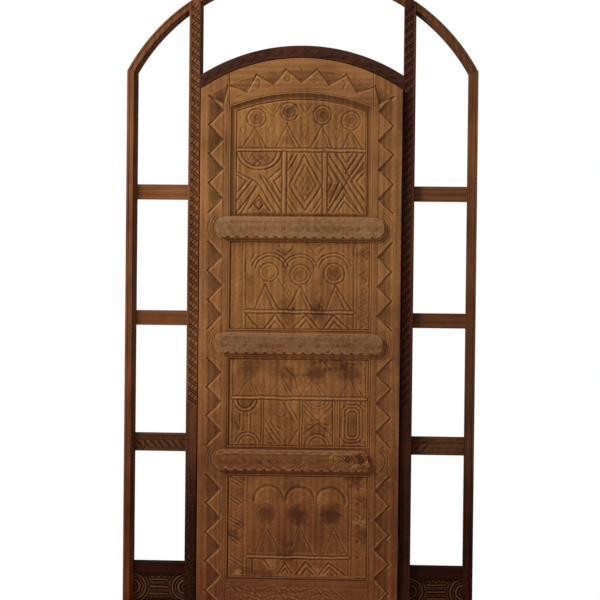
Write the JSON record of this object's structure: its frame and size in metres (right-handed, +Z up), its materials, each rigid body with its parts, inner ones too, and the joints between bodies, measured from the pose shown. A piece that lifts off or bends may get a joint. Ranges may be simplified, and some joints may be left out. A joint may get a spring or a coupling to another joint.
{
  "type": "carved wooden door",
  "caption": "Arched wooden door leaf with carved panels and scalloped battens, hung in a wooden frame with open sidelights under a round arch; it swings outward and bolts inside.",
  "frame": {"origin": "middle of the sill's underside, below the plane of the jambs' front faces", "axes": "+X to the right seen from the carved face, -Y out of the carved face, +Z up"},
  "size_m": [1.468, 0.152, 2.781],
  "materials": {
    "frame_wood": "dark brown stain, worn at the edges",
    "head_wood": "very dark brown stain",
    "leaf_wood": "oiled, honey brown, grimed towards the foot",
    "panel_wood": "oiled and carved, dark in the cuts",
    "batten_wood": "weathered, greyer than the leaf",
    "iron": "black wrought iron"
  },
  "bodies": {
    "frame": {"arch_centre": "frame_wood", "arch_left": "frame_wood", "arch_right": "frame_wood", "door_head": "head_wood", "foot_rail_left": "frame_wood", "foot_rail_right": "frame_wood", "hinge_frame_flap_lower": "iron", "hinge_frame_flap_middle": "iron", "hinge_frame_flap_upper": "iron", "hinge_pin_lower": "iron", "hinge_pin_middle": "iron", "hinge_pin_upper": "iron", "hinge_screws_frame": "iron", "jamb_left": "frame_wood", "jamb_right": "frame_wood", "lower_rail_left": "frame_wood", "lower_rail_right": "frame_wood", "middle_rail_left": "frame_wood", "middle_rail_right": "frame_wood", "outer_post_left": "frame_wood", "outer_post_right": "frame_wood", "panel_rail_left": "frame_wood", "panel_rail_right": "frame_wood", "side_panel_left": "frame_wood", "side_panel_right": "frame_wood", "sill": "frame_wood", "stop_head": "frame_wood", "stop_left": "frame_wood", "stop_right": "frame_wood", "upper_rail_left": "frame_wood", "upper_rail_right": "frame_wood"},
    "leaf": {"batten_1": "batten_wood", "batten_2": "batten_wood", "batten_3": "batten_wood", "bolt_guide_inner": "leaf_wood", "bolt_guide_outer": "leaf_wood", "bottom_rail": "leaf_wood", "mid_rail_1": "leaf_wood", "mid_rail_2": "leaf_wood", "mid_rail_3": "leaf_wood", "panel_1": "panel_wood", "panel_1_moulding": "panel_wood", "panel_2": "panel_wood", "panel_2_moulding": "panel_wood", "panel_3": "panel_wood", "panel_3_moulding": "panel_wood", "panel_4": "panel_wood", "panel_4_moulding": "panel_wood", "stile_left": "leaf_wood", "stile_right": "leaf_wood", "top_rail": "leaf_wood", "batten_screws": "iron", "hinge_leaf_flap_lower": "iron", "hinge_leaf_flap_middle": "iron", "hinge_leaf_flap_upper": "iron", "hinge_screws_leaf": "iron"},
    "bolt": {"bolt_bar": "leaf_wood", "bolt_peg": "leaf_wood"}
  },
  "joints": [
    {"name": "leaf_swing", "type": "hinge", "parent": "frame", "child": "leaf", "pos_m": [0.4235, -0.008, 0], "axis": [0, 0, 1], "range_deg": [0, 110]},
    {"name": "bolt_slide", "type": "slide", "parent": "leaf", "child": "bolt", "axis": [-1, 0, 0], "range_m": [0, 0.055]}
  ]
}
